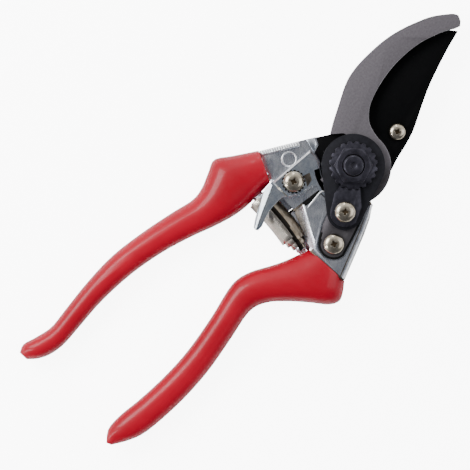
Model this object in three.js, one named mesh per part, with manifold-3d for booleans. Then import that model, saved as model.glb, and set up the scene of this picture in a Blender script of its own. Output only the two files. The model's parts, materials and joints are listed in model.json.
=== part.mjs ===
// Bypass pruning shears, closed, lying flat on their back with the pivot nut on top.
// Millimetres and degrees. The pivot axis is Z and passes through the origin, z = 0 is the table,
// +X runs out to the blade tips and +Y towards the handle that carries the cutting blade.
import * as THREE from "three";
import { mergeVertices } from "three/addons/utils/BufferGeometryUtils.js";
import Module from "manifold-3d";

const wasm = await Module();
wasm.setup();

// ---- Clearances ----
const gap = 0.3; // between two pieces that touch
const pocketGap = 0.5; // round the tang in its pocket
const stopGap = 0.9; // between the two closing stops
const sweepGap = 0.7; // between the turning hub and the hook handle

// ---- Layers along the pivot, from the table up ----
const boltHeadHeight = 3.0;
const washerThickness = 0.8;
const plateThickness = 3.2;
const bladeThickness = 3.4;
const hookThickness = 4.2;
const coverThickness = 1.8;
const flangeThickness = 1.6;
const hexHeight = 3.6;
const boltProud = 1.2;

const washerZ = boltHeadHeight + gap;
const plateZ = washerZ + washerThickness + gap;
const bladeZ = plateZ + plateThickness + gap;
const deckZ = bladeZ + bladeThickness;
const hookZ = deckZ + gap;
const coverZ = hookZ + hookThickness + gap;
const flangeZ = coverZ + coverThickness + gap;
const hexZ = flangeZ + flangeThickness;
const boltTopZ = hexZ + hexHeight + boltProud;

// ---- Pivot ----
const shaftRadius = 4.0;
const boreRadius = shaftRadius + gap;
const boltHeadRadius = 8.5;
const washerRadius = 9.5;
const boltDimpleRadius = 1.2;
const boltDimpleDepth = 0.6;
const nutAcrossFlats = 13;
const flangeRootRadius = 8.5;
const flangeToothHeight = 0.8;
const flangeTeeth = 20;
const coverRadius = 12.2;
const coverTailRadius = 7.0;

// ---- Blades ----
const hookLength = 69.4;
const bladeLength = 65;
const drawnHookLength = 69.4; // the length that the hook's outline is drawn at
const drawnBladeLength = 65;
const bladeHubRadius = 12.6;
const plateRadius = 13.2;
const plateArmRadius = 5.0;
const hubReliefRadius = 11.3; // hub of the counter-blade where the latch sweeps past
const hubToothRadius = 13.7; // tooth that the latch's finger hooks behind
const hubFrontRadius = 14.2;
const hubBackRadius = 15.1;
const tangEndRadius = 5.9;

// ---- Handles ----
const sweptRadius = hubBackRadius + 2 * sweepGap;
const headBottomZ = 1.8;
const tangProud = 0.8; // how far the tang stands above the rim of its pocket
const hookHeadTopZ = hookZ + hookThickness - tangProud;
const stopAngle = 172;
const coreHalfHeight = 3.3;
const gripWall = 2.0;
const gripCentreZ = 8;
const gripTipWall = 0.06; // share of the grip's stations left solid at its tip
const bladeGripMouthX = -21.5;
const bladeGripLength = 120.5;
const hookGripMouthX = -34;
const hookGripLength = 109;

// ---- Screws: one pan-head pattern ----
const screwShankRadius = 2.0;
const screwHeadRadius = 4.0;
const screwHeadHeight = 2.2;
const bladeScrewHeadRadius = 3.3;
const recessWidth = 0.9;
const recessReach = 4.6;
const recessDepth = 1.3;
const lockScrewAt = [-14.8, -10.3];
const tangScrewAt = [-26.5, -16];
const bladeScrewAt = [21.2, -2.8];
const latchScrewAt = [-20.5, 11.8];

// ---- Latch ----
const latchThickness = 3.2;
const latchZ = deckZ + gap;
const latchWasherRadius = 4.6;
const latchWasherThickness = 0.6;
const tabThickness = 3.2;
const tabClearance = 0.6; // under the thumb tab, over the spring
const fingerOuterRadius = sweptRadius - 0.4;
const fingerInnerRadius = fingerOuterRadius - 0.9;
const fingerToothRadius = fingerInnerRadius - 0.8;

// ---- Volute spring ----
const springTop = [-34, 17.2];
const springBend = [-33.8, 2.5];
const springBottom = [-36.9, -9.2];
const springRadius = 5.6;
const springStrip = 0.5;
const springPitch = 0.7;
const springWidth = 12.5;
const springTurns = 4;
const springCentreZ = gripCentreZ;
const springClearance = 0.4; // between the spring's widest turns and the handles
const springEndRadius = springRadius - springPitch * springTurns;
const seatPostHeight = 3.0;
const seatStemRadius = 2.2;
const seatStemDepth = 4.6;
const hookPostRadius = springEndRadius - springStrip - gap;
const hookPostHeight = 3.0;
const hookStemRadius = hookPostRadius - 0.5;

// ---- Finishes ----
const finish = (color, roughness, metalness) => new THREE.MeshStandardMaterial({ color, roughness, metalness });
const redVinyl = finish(0xcb3138, 0.25, 0);
const chromedSteel = finish(0x8f96a3, 0.22, 1);
const blastedSteel = finish(0x6e696e, 0.6, 0.6);
const coatedSteel = finish(0x14141a, 0.45, 0.3);
const blackSteel = finish(0x24242a, 0.4, 0.8);
const nickel = finish(0xb8aea0, 0.3, 1);

// ---- Outlines ----
const radians = THREE.MathUtils.degToRad;

function polar(radius, degrees, centre = [0, 0]) {
  const angle = radians(degrees);
  return [centre[0] + radius * Math.cos(angle), centre[1] + radius * Math.sin(angle)];
}

function arc(radius, from, to, steps, centre = [0, 0], endRadius = radius) {
  const points = [];
  for (let i = 0; i <= steps; i += 1) {
    const share = i / steps;
    points.push(polar(radius + (endRadius - radius) * share, from + (to - from) * share, centre));
  }
  return points;
}

function smooth(points, steps) {
  const curve = new THREE.SplineCurve(points.map(([x, y]) => new THREE.Vector2(x, y)));
  return curve.getPoints(steps).map((point) => [point.x, point.y]);
}

// The outline round two circles, as a belt runs round two wheels.
function belt(radius, centre, endRadius, endCentre, steps) {
  const dx = endCentre[0] - centre[0];
  const dy = endCentre[1] - centre[1];
  const along = THREE.MathUtils.radToDeg(Math.atan2(dy, dx));
  const lean = THREE.MathUtils.radToDeg(Math.acos((radius - endRadius) / Math.hypot(dx, dy)));
  return [
    ...arc(radius, along + lean, along + 360 - lean, steps, centre),
    ...arc(endRadius, along - lean, along + lean, steps, endCentre),
  ];
}

function gear(rootRadius, toothHeight, teeth) {
  const points = [];
  const pitch = 360 / teeth;
  for (let tooth = 0; tooth < teeth; tooth += 1) {
    const middle = tooth * pitch;
    points.push(polar(rootRadius, middle - pitch * 0.4));
    points.push(polar(rootRadius + toothHeight, middle - pitch * 0.2));
    points.push(polar(rootRadius + toothHeight, middle + pitch * 0.2));
    points.push(polar(rootRadius, middle + pitch * 0.4));
  }
  return points;
}

// ---- Solids ----
function solid(geometry) {
  const bare = geometry.index ? geometry.toNonIndexed() : geometry.clone();
  bare.deleteAttribute("normal");
  bare.deleteAttribute("uv");
  const merged = mergeVertices(bare, 1e-4);
  return new wasm.Manifold(
    new wasm.Mesh({
      numProp: 3,
      vertProperties: merged.attributes.position.array,
      triVerts: new Uint32Array(merged.index.array),
    }),
  );
}

function slab(outline, fromZ, toZ) {
  const shape = new THREE.Shape(outline.map(([x, y]) => new THREE.Vector2(x, y)));
  const geometry = new THREE.ExtrudeGeometry(shape, { depth: toZ - fromZ, bevelEnabled: false });
  return solid(geometry.translate(0, 0, fromZ));
}

function round(radius, fromZ, toZ, centre = [0, 0], sides = 48) {
  const geometry = new THREE.CylinderGeometry(radius, radius, toZ - fromZ, sides);
  geometry.rotateX(Math.PI / 2);
  return solid(geometry.translate(centre[0], centre[1], (fromZ + toZ) / 2));
}

// A turned piece: profile is [radius, z] pairs from the axis round to the axis, upwards.
function turned(profile, centre = [0, 0], sides = 40) {
  const points = profile.map(([radius, z]) => new THREE.Vector2(radius, z));
  const geometry = new THREE.LatheGeometry(points, sides);
  geometry.rotateX(Math.PI / 2);
  return solid(geometry.translate(centre[0], centre[1], 0));
}

// A round bar between two points.
function rod(start, end, radius, sides = 32) {
  const from = new THREE.Vector3(...start);
  const way = new THREE.Vector3(...end).sub(from);
  const geometry = new THREE.CylinderGeometry(radius, radius, way.length(), sides);
  const turn = new THREE.Quaternion().setFromUnitVectors(
    new THREE.Vector3(0, 1, 0),
    way.clone().normalize(),
  );
  geometry.applyQuaternion(turn);
  geometry.translate(...from.addScaledVector(way, 0.5).toArray());
  return solid(geometry);
}

// A closed skin through rings: ringAt(share) gives the ring's two edge points and half height.
function loft(ringAt, steps, sides, squareness) {
  const geometry = new THREE.CylinderGeometry(1, 1, 1, sides, steps);
  const place = geometry.attributes.position;
  const corner = (value) => Math.sign(value) * Math.abs(value) ** (2 / squareness);
  for (let i = 0; i < place.count; i += 1) {
    const ring = ringAt(place.getY(i) + 0.5);
    const across = corner(place.getX(i));
    const up = corner(place.getZ(i));
    const middleX = (ring.top[0] + ring.bottom[0]) / 2;
    const middleY = (ring.top[1] + ring.bottom[1]) / 2;
    const halfX = (ring.top[0] - ring.bottom[0]) / 2;
    const halfY = (ring.top[1] - ring.bottom[1]) / 2;
    place.setXYZ(i, middleX + halfX * across, middleY + halfY * across, ring.z + ring.half * up);
  }
  return solid(geometry);
}

// ---- Grips: [along top, top y, along bottom, bottom y, half height] from mouth to tip ----
const bladeGripRings = [
  [0.0, 29.8, 0.046, 18.0, 7.3],
  [0.071, 35.5, 0.079, 17.8, 7.8],
  [0.12, 39.4, 0.124, 17.8, 8.0],
  [0.162, 37.6, 0.162, 18.0, 8.0],
  [0.212, 35.1, 0.207, 18.9, 7.8],
  [0.261, 34.4, 0.27, 21.2, 7.4],
  [0.336, 36.5, 0.353, 24.9, 6.9],
  [0.444, 39.1, 0.452, 28.4, 6.5],
  [0.568, 41.0, 0.568, 30.8, 6.3],
  [0.693, 40.5, 0.693, 31.5, 6.1],
  [0.801, 39.0, 0.801, 30.6, 6.0],
  [0.867, 38.2, 0.876, 30.0, 6.0],
  [0.925, 39.7, 0.929, 31.0, 6.0],
  [0.967, 41.1, 0.967, 33.2, 5.2],
  [0.994, 39.8, 0.993, 36.0, 2.6],
];
const hookGripRings = [
  [0.005, -11.0, -0.004, -29.0, 7.6],
  [0.032, -9.8, 0.028, -31.7, 7.9],
  [0.064, -8.6, 0.06, -33.1, 8.0],
  [0.101, -7.0, 0.096, -31.0, 8.0],
  [0.147, -4.5, 0.138, -25.3, 7.8],
  [0.202, -1.2, 0.193, -18.6, 7.4],
  [0.257, 0.6, 0.248, -13.5, 7.0],
  [0.312, 0.2, 0.312, -11.5, 6.7],
  [0.422, -2.7, 0.422, -13.8, 6.5],
  [0.56, -5.3, 0.55, -16.3, 6.3],
  [0.679, -6.0, 0.67, -17.3, 6.2],
  [0.798, -5.5, 0.789, -17.0, 6.1],
  [0.89, -4.5, 0.881, -15.8, 5.8],
  [0.954, -5.0, 0.94, -13.2, 4.6],
  [0.993, -8.2, 0.986, -10.2, 1.9],
];

// The shape of a grip as a function of the share of its stations, inset from its skin.
function gripShape(rings, mouthX, length) {
  const place = (along, y) => new THREE.Vector2(mouthX - along * length, y);
  const top = new THREE.SplineCurve(rings.map((ring) => place(ring[0], ring[1])));
  const bottom = new THREE.SplineCurve(rings.map((ring) => place(ring[2], ring[3])));
  const height = new THREE.SplineCurve(rings.map((ring, i) => new THREE.Vector2(i, ring[4])));
  return (share, inset = 0, half = height.getPoint(share).y) => {
    const high = top.getPoint(share);
    const low = bottom.getPoint(share);
    const step = high.clone().sub(low).setLength(inset);
    return {
      top: high.sub(step).toArray(),
      bottom: low.add(step).toArray(),
      half,
      z: gripCentreZ,
    };
  };
}

const gripSteps = 44;
const gripSides = 28;
const coreSteps = 30;
const coreSides = 20;
const gripSquareness = 2.4;
const coreSquareness = 4;
const mouthReach = 3; // how far a core reaches out of its grip into the handle's head

function gripOf(shape) {
  const depth = 1 - gripTipWall;
  const cavityHalf = coreHalfHeight + gap;
  const outside = loft((share) => shape(share), gripSteps, gripSides, gripSquareness);
  const cavityAt = (share) => shape(share * depth, gripWall, cavityHalf);
  const cavity = loft(cavityAt, coreSteps, coreSides, coreSquareness);
  const mouth = loft((share) => moved(shape(0, gripWall, cavityHalf), share), 1, coreSides, coreSquareness);
  return outside.subtract(cavity).subtract(mouth);
}

// A ring moved out of the grip's mouth, square to it.
function moved(ring, share) {
  const away = new THREE.Vector2(ring.top[0] - ring.bottom[0], ring.top[1] - ring.bottom[1]);
  const side = new THREE.Vector2(away.y, -away.x).setLength(mouthReach * (1 - share));
  return {
    top: [ring.top[0] + side.x, ring.top[1] + side.y],
    bottom: [ring.bottom[0] + side.x, ring.bottom[1] + side.y],
    half: ring.half,
    z: ring.z,
  };
}

function coreOf(shape) {
  const depth = 1 - gripTipWall - 0.02;
  const inset = gripWall + gap;
  const coreAt = (share) => shape(share * depth, inset, coreHalfHeight);
  const core = loft(coreAt, coreSteps, coreSides, coreSquareness);
  const neck = loft((share) => moved(shape(0, inset, coreHalfHeight), share), 1, coreSides, coreSquareness);
  return core.add(neck);
}

const bladeGripShape = gripShape(bladeGripRings, bladeGripMouthX, bladeGripLength);
const hookGripShape = gripShape(hookGripRings, hookGripMouthX, hookGripLength);

// The two ends of a grip's mouth, a gap outside it, for the head that meets it.
function mouthEdge(shape) {
  const ring = shape(0, gap);
  const away = new THREE.Vector2(ring.top[0] - ring.bottom[0], ring.top[1] - ring.bottom[1]);
  const side = new THREE.Vector2(away.y, -away.x).setLength(gap);
  return {
    top: [ring.top[0] + side.x, ring.top[1] + side.y],
    bottom: [ring.bottom[0] + side.x, ring.bottom[1] + side.y],
  };
}

// ---- Spring: its axis bends from one seat to the other ----
const springAxis = new THREE.QuadraticBezierCurve(
  new THREE.Vector2(...springTop),
  new THREE.Vector2(...springBend),
  new THREE.Vector2(...springBottom),
);
const springLength = springAxis.getLength();
const springAdvance = springLength - springWidth;

// A point in the spring's plane: a share of the way down its axis, and a distance to its right.
function besideSpring(share, side) {
  const point = springAxis.getPointAt(share);
  const along = springAxis.getTangentAt(share);
  return [point.x - along.y * side, point.y + along.x * side];
}

// The radius of the widest turn that reaches a share of the way down the axis.
function springReach(share) {
  const past = (share * springLength - springWidth) / springAdvance;
  return springRadius - springPitch * springTurns * THREE.MathUtils.clamp(past, 0, 1);
}

// A point on the line of the axis at one of its ends, a distance past that end along the spring.
function onSpringAxis(share, distance) {
  const end = springAxis.getPointAt(share);
  const along = springAxis.getTangentAt(share);
  return [end.x + along.x * distance, end.y + along.y * distance, springCentreZ];
}

function voluteSpring() {
  const geometry = new THREE.BoxGeometry(1, 1, 1, springTurns * 36, 1, 1);
  const place = geometry.attributes.position;
  for (let i = 0; i < place.count; i += 1) {
    const share = place.getX(i) + 0.5;
    const angle = -share * springTurns * Math.PI * 2;
    const radius = springRadius - springPitch * springTurns * share - springStrip * (0.5 - place.getZ(i));
    const down = springAdvance * share + springWidth * (0.5 - place.getY(i));
    const downShare = THREE.MathUtils.clamp(down / springLength, 0, 1);
    const [x, y] = besideSpring(downShare, radius * Math.cos(angle));
    place.setXYZ(i, x, y, springCentreZ + radius * Math.sin(angle));
  }
  return solid(geometry);
}

function bladeSpringSeat() {
  const postRadius = springRadius - springPitch - springStrip - gap / 2;
  const post = rod(onSpringAxis(0, seatPostHeight), onSpringAxis(0, 0), postRadius);
  const stem = rod(onSpringAxis(0, seatPostHeight / 2), onSpringAxis(0, -seatStemDepth), seatStemRadius);
  return post.add(stem);
}

function hookSpringSeat() {
  const post = rod(onSpringAxis(1, -hookPostHeight), onSpringAxis(1, 0), hookPostRadius);
  const stem = rod(onSpringAxis(1, -hookPostHeight / 2), onSpringAxis(1, seatStemDepth), hookStemRadius);
  return post.add(stem);
}

function bladeStemHole() {
  return rod(onSpringAxis(0, gap), onSpringAxis(0, -seatStemDepth - gap), seatStemRadius + gap);
}

function hookStemHole() {
  return rod(onSpringAxis(1, -gap), onSpringAxis(1, seatStemDepth + gap), hookStemRadius + gap);
}

// ---- Screws ----
function panHeadScrew(centre, seatZ, headRadius, tipZ) {
  const edge = headRadius * 0.3;
  const head = turned(
    [
      [0, tipZ],
      [screwShankRadius - 0.5, tipZ],
      [screwShankRadius, tipZ + 0.5],
      [screwShankRadius, seatZ],
      [headRadius, seatZ],
      [headRadius, seatZ + screwHeadHeight * 0.45],
      [headRadius - edge * 0.35, seatZ + screwHeadHeight * 0.8],
      [headRadius - edge, seatZ + screwHeadHeight * 0.96],
      [0, seatZ + screwHeadHeight],
    ],
    centre,
  );
  const topZ = seatZ + screwHeadHeight;
  const cross = new THREE.BoxGeometry(recessReach, recessWidth, recessDepth * 2).translate(...centre, topZ);
  const other = new THREE.BoxGeometry(recessWidth, recessReach, recessDepth * 2).translate(...centre, topZ);
  return head.subtract(solid(cross)).subtract(solid(other));
}

function screwHole(centre, fromZ, toZ) {
  return round(screwShankRadius + gap, fromZ, toZ, centre, 32);
}

// ---- Pivot pieces ----
function pivotBolt() {
  const body = turned([
    [0, 0],
    [boltHeadRadius - 0.8, 0],
    [boltHeadRadius, 0.8],
    [boltHeadRadius, boltHeadHeight],
    [shaftRadius, boltHeadHeight],
    [shaftRadius, boltTopZ - 0.6],
    [shaftRadius - 0.6, boltTopZ],
    [0, boltTopZ],
  ]);
  return body.subtract(round(boltDimpleRadius, boltTopZ - boltDimpleDepth, boltTopZ + 1, [0, 0], 24));
}

function pivotWasher() {
  const disc = round(washerRadius, washerZ, washerZ + washerThickness);
  return disc.subtract(round(boreRadius, 0, plateZ));
}

function pivotNut() {
  const flange = slab(gear(flangeRootRadius, flangeToothHeight, flangeTeeth), flangeZ, hexZ);
  const cornerRadius = nutAcrossFlats / 2 / Math.cos(Math.PI / 6);
  const hexTopZ = hexZ + hexHeight;
  const hexOutline = arc(cornerRadius, 15, 315, 5);
  const chamfer = turned([
    [0, flangeZ],
    [flangeRootRadius, flangeZ],
    [flangeRootRadius, hexTopZ - 1.6],
    [nutAcrossFlats / 2 - 0.2, hexTopZ],
    [0, hexTopZ],
  ]);
  const hex = slab(hexOutline, hexZ - gap, hexTopZ).intersect(chamfer);
  return flange.add(hex).subtract(round(boreRadius, 0, boltTopZ));
}

function coverPlate() {
  const plate = slab(
    belt(coverRadius, [0, 0], coverTailRadius, lockScrewAt, 28),
    coverZ,
    coverZ + coverThickness,
  );
  return plate.subtract(round(boreRadius, 0, boltTopZ)).subtract(screwHole(lockScrewAt, hookZ, hexZ));
}

function nutLockPlate() {
  const toothRoot = flangeRootRadius + gap;
  const outline = [
    ...arc(toothRoot, 242, 192, 4),
    [-12.6, -2.4],
    ...arc(coverTailRadius - 1.2, 140, 270, 10, lockScrewAt),
    [-9, -13.4],
  ];
  const plate = slab(outline, flangeZ, hexZ);
  const meshed = slab(gear(toothRoot, flangeToothHeight, flangeTeeth), coverZ, hexZ + 1);
  return plate.subtract(meshed).subtract(screwHole(lockScrewAt, hookZ, boltTopZ));
}

// ---- Cutting edges ----
function counterBlade() {
  const reach = ([x, y]) => [(x / drawnHookLength) * hookLength, y];
  const outerEdge = [
    [69.3, 12.2], [68.4, 14], [65.6, 16.4], [62, 19], [58, 21], [50, 24], [42, 25.7], [33, 26.2],
    [26, 25.8], [20, 24.2], [12, 20.2], [6, 17.1], [2.3, 14.8],
  ];
  const innerEdge = [
    [14.3, 1], [14.8, 4], [16.4, 7.8], [21, 11.8], [28, 14.4], [36, 15.9], [44, 16.1], [52, 15],
    [60, 12.2], [64.8, 9.5],
  ];
  const outline = [
    ...smooth(outerEdge.map(reach), 40),
    [6.2, 11.4],
    ...arc(hubReliefRadius, 52, 155.5, 22),
    ...arc(hubToothRadius, 157.5, 170.5, 6, [0, 0], hubToothRadius - 0.95),
    ...arc(hubReliefRadius, 171.5, 186, 3),
    polar(14, 192),
    ...smooth([[-16.5, -4.9], [-20, -6.2], [-24, -7.7], [-29, -10.4]], 6),
    ...arc(tangEndRadius, 115, 265, 14, tangScrewAt),
    ...smooth([[-20, -19.8], [-13, -17.4], [-7, -14.9]], 6),
    ...arc(hubBackRadius, 250, 362, 24, [0, 0], hubFrontRadius),
    ...smooth(innerEdge.map(reach), 36),
    reach([66.8, 8.8]),
    reach([68.3, 10]),
  ];
  return slab(outline, hookZ, hookZ + hookThickness)
    .subtract(round(boreRadius, 0, boltTopZ))
    .subtract(screwHole(lockScrewAt, deckZ, coverZ))
    .subtract(screwHole(tangScrewAt, deckZ, coverZ));
}

const bladeRoot = [
  [-2, 17.5],
  [-3.5, 15],
  [-6.8, 13.9],
  [-7.8, 10],
];

function cuttingBlade() {
  const reach = ([x, y]) => [(x / drawnBladeLength) * bladeLength, y];
  const edge = [
    [65, 8.2], [62, 11.6], [56, 15.2], [47, 17.6], [38, 18.4], [28, 18], [18, 16], [9, 14.6], [2.3, 14.8],
  ];
  const spine = [
    [9.5, -11.6], [14, -10.1], [20, -8.7], [26, -6.8], [34, -2.9], [42, 0.8], [50, 3.7], [58, 6.2],
    [64.6, 7.9],
  ];
  const outline = [
    ...smooth(edge.map(reach), 32),
    ...bladeRoot,
    ...arc(bladeHubRadius, 130, 295, 28),
    ...smooth(spine.map(reach), 28),
  ];
  return slab(outline, bladeZ, deckZ)
    .subtract(round(boreRadius, 0, boltTopZ))
    .subtract(screwHole(bladeScrewAt, plateZ, coverZ));
}

// ---- Handles ----
// A point beside the radial line on which the two handles stop against each other.
function besideStop(radius, offset) {
  const point = polar(radius, stopAngle);
  const square = polar(offset, stopAngle - 90);
  return [point[0] + square[0], point[1] + square[1]];
}

// The side of the blade handle that faces the spring, and where it meets the stop.
const flankX = springTop[0] + springRadius + springClearance;
const lugReach = flankX / Math.cos(radians(stopAngle));

function bladeHandle() {
  const mouth = mouthEdge(bladeGripShape);
  const half = stopGap / 2;
  const rootClear = bladeRoot.map(([x, y]) => [x - gap - 0.1, y + gap * (y > 16 ? 0.6 : 0)]);
  const headOutline = [
    mouth.top,
    [-8, 21.4],
    [-2.6, 18.1],
    ...rootClear,
    ...arc(bladeHubRadius + gap, 130.5, 168, 10),
    besideStop(bladeHubRadius + 1, half),
    besideStop(lugReach, half),
    [flankX, 7],
    [flankX + 0.4, 14],
    mouth.bottom,
  ];
  const head = slab(headOutline, headBottomZ, deckZ);
  const plate = slab(
    belt(plateRadius, [0, 0], plateArmRadius, bladeScrewAt, 28),
    plateZ,
    plateZ + plateThickness,
  );
  const bridge = slab(
    [[-2.6, 18.1], [-13, 9], [-13, 4], [0, 0], polar(plateRadius, 62)],
    plateZ,
    plateZ + plateThickness,
  );
  const rest = round(plateRadius + gap, headBottomZ - 1, plateZ);
  return head
    .subtract(rest)
    .add(plate)
    .add(bridge)
    .add(coreOf(bladeGripShape))
    .subtract(round(boreRadius, 0, boltTopZ))
    .subtract(screwHole(bladeScrewAt, 0, bladeZ))
    .subtract(screwHole(latchScrewAt, headBottomZ + 2, coverZ))
    .subtract(bladeStemHole());
}

function hookHandle() {
  const mouth = mouthEdge(hookGripShape);
  const half = stopGap / 2;
  const outline = [
    besideStop(lugReach, -half),
    besideStop(sweptRadius + 0.2, -half),
    ...arc(sweptRadius, 175.5, 252, 22),
    [-10, -19],
    [-16, -21.8],
    [-24, -25],
    mouth.bottom,
    mouth.top,
    ...[0.98, 0.9, 0.82, 0.74, 0.66, 0.58].map((share) =>
      besideSpring(share, springReach(share) + springClearance),
    ),
  ];
  const pocket = [
    ...arc(tangEndRadius + pocketGap, 112, 268, 16, tangScrewAt),
    [-20, -20.3],
    [-12.5, -17.8],
    [-4, -14.6],
    polar(sweptRadius - 4, 215),
    [-13, -2.6],
    [-17, -4.2],
    [-20, -5.6],
    [-24.2, -7.1],
  ];
  return slab(outline, headBottomZ, hookHeadTopZ)
    .add(coreOf(hookGripShape))
    .subtract(slab(pocket, deckZ, hookHeadTopZ + 1))
    .subtract(screwHole(tangScrewAt, headBottomZ + 2, coverZ))
    .subtract(hookStemHole());
}

// ---- Thumb latch ----
function thumbLatch() {
  const plateOutline = [
    [-7.4, 15.9],
    [-25, 17.2],
    [-27.5, 17.6],
    [-27.6, 10.8],
    [-25.5, 8.3],
    [-22, 6],
    [-16.6, 5.2],
    ...arc(fingerOuterRadius, 163.5, 188, 8),
    ...arc(fingerToothRadius, 188, 181.5, 3),
    ...arc(fingerInnerRadius, 180, 141.5, 12),
    [-9.9, 8.5],
    [-8.9, 9.2],
    [-7.9, 11.2],
    [-7.4, 12.5],
  ];
  const tabZ = springCentreZ + springRadius + tabClearance;
  const tabTopZ = tabZ + tabThickness;
  const tabOutline = [
    [-26.6, 17.8],
    ...smooth([[-30.5, 17.6], [-33, 16.2], [-40, 12.8], [-43.8, 10.2]], 10),
    [-44, 9.2],
    [-43.3, 8.2],
    ...smooth([[-41, 8.3], [-38, 9.5], [-34, 10.6], [-29, 10.8]], 9),
    [-26.6, 10.4],
  ];
  const riserOutline = [[-26, 17.2], [-28.2, 17.6], [-28.2, 10.9], [-26, 9.4]];
  return slab(plateOutline, latchZ, latchZ + latchThickness)
    .add(slab(tabOutline, tabZ, tabTopZ))
    .add(slab(riserOutline, latchZ + 1, tabTopZ))
    .subtract(screwHole(latchScrewAt, headBottomZ, coverZ));
}

function latchWasher() {
  const fromZ = latchZ + latchThickness + gap;
  const outline = gear(latchWasherRadius - 0.5, 0.5, 18).map(([x, y]) => [
    x + latchScrewAt[0],
    y + latchScrewAt[1],
  ]);
  return slab(outline, fromZ, fromZ + latchWasherThickness).subtract(
    screwHole(latchScrewAt, 0, boltTopZ),
  );
}

// ---- Assembly ----
function mesh(name, piece, material) {
  const { vertProperties, triVerts } = piece.getMesh();
  const indexed = new THREE.BufferGeometry();
  indexed.setAttribute("position", new THREE.BufferAttribute(vertProperties, 3));
  indexed.setIndex(new THREE.BufferAttribute(triVerts, 1));
  const geometry = indexed.toNonIndexed();
  geometry.computeVertexNormals();
  const made = new THREE.Mesh(geometry, material);
  made.name = name;
  return made;
}

const latchSeatZ = latchZ + latchThickness + gap + latchWasherThickness + gap;

const hookSide = new THREE.Group();
hookSide.add(
  mesh("hook_handle", hookHandle(), chromedSteel),
  mesh("hook_grip", gripOf(hookGripShape).subtract(hookStemHole()), redVinyl),
  mesh("counter_blade", counterBlade(), blastedSteel),
  mesh("pivot_bolt", pivotBolt(), blackSteel),
  mesh("pivot_washer", pivotWasher(), nickel),
  mesh("pivot_nut", pivotNut(), blackSteel),
  mesh("pivot_cover_plate", coverPlate(), coatedSteel),
  mesh("nut_lock_plate", nutLockPlate(), blackSteel),
  mesh("lock_plate_screw", panHeadScrew(lockScrewAt, hexZ + gap, screwHeadRadius, hookZ + gap), nickel),
  mesh("tang_screw", panHeadScrew(tangScrewAt, coverZ, screwHeadRadius, headBottomZ + 3), nickel),
  mesh("hook_spring_seat", hookSpringSeat(), chromedSteel),
  mesh("volute_spring", voluteSpring(), chromedSteel),
);

const latch = new THREE.Group();
latch.add(mesh("thumb_latch", thumbLatch(), chromedSteel));

const bladeSide = new THREE.Group();
bladeSide.add(
  mesh("blade_handle", bladeHandle(), chromedSteel),
  mesh("blade_grip", gripOf(bladeGripShape).subtract(bladeStemHole()), redVinyl),
  mesh("cutting_blade", cuttingBlade(), coatedSteel),
  mesh("blade_screw", panHeadScrew(bladeScrewAt, hookZ, bladeScrewHeadRadius, plateZ - gap), nickel),
  mesh("latch_screw", panHeadScrew(latchScrewAt, latchSeatZ, screwHeadRadius, headBottomZ + 3), nickel),
  mesh("latch_washer", latchWasher(), nickel),
  mesh("blade_spring_seat", bladeSpringSeat(), chromedSteel),
  latch,
);

const group = new THREE.Group();
group.add(hookSide, bladeSide);
export default group;
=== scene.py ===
import json
import logging
import math
from collections.abc import Callable, Iterator, Sequence
from contextlib import contextmanager
from dataclasses import dataclass, field
from enum import Enum
from itertools import pairwise

import bpy
from mathutils import Euler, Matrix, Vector

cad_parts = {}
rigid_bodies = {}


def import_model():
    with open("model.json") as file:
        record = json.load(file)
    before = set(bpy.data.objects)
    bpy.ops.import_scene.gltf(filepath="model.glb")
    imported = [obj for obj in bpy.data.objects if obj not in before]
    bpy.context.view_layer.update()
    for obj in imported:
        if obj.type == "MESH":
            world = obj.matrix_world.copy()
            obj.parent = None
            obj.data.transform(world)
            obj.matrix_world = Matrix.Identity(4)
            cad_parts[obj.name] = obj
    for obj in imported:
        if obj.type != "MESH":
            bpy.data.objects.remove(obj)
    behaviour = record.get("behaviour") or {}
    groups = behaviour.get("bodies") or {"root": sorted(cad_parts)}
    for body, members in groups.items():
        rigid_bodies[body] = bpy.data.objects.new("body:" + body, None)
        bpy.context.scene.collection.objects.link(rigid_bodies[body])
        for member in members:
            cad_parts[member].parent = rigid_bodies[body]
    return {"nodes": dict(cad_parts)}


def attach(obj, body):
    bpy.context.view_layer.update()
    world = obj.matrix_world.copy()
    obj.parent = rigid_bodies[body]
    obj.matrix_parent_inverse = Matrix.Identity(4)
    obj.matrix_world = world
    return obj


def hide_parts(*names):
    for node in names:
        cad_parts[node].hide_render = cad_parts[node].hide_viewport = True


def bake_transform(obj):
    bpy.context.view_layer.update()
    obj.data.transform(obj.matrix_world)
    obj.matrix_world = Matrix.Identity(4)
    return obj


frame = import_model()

LOG = logging.getLogger("shears")
MM = 0.001
WELD_DISTANCE = 0.004 * MM
FLAT_ANGLE = math.radians(0.6)
LATHE_STEPS = 48

Point = tuple[float, float]
Colour = tuple[float, float, float]
EdgeTest = Callable[[Vector, Vector], bool]


class Body(Enum):
    """The bodies that pieces ride on."""

    HOOK = "hook_side"
    BLADE = "blade_side"
    LATCH = "latch"


class Slot(Enum):
    """The material slots of the part."""

    GRIP = "red_grip"
    HANDLE = "handle_metal"
    BRIGHT = "bright_steel"
    HOOK = "hook_steel"
    COATING = "black_coating"
    BLACK = "black_steel"
    SCREW = "screw_nickel"


# ---------------------------------------------------------------- colours and shader wiring


def linear(red: float, green: float, blue: float) -> tuple[float, float, float, float]:
    """Turns a colour as seen on a screen, 0 to 255, into a linear one.

    Args:
        red: The red part.
        green: The green part.
        blue: The blue part.

    Returns:
        The linear colour with full opacity.
    """

    def part(value: float) -> float:
        """Gives the linear value of one part."""
        share = value / 255
        return share / 12.92 if share <= 0.04045 else ((share + 0.055) / 1.055) ** 2.4

    return (part(red), part(green), part(blue), 1.0)


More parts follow.
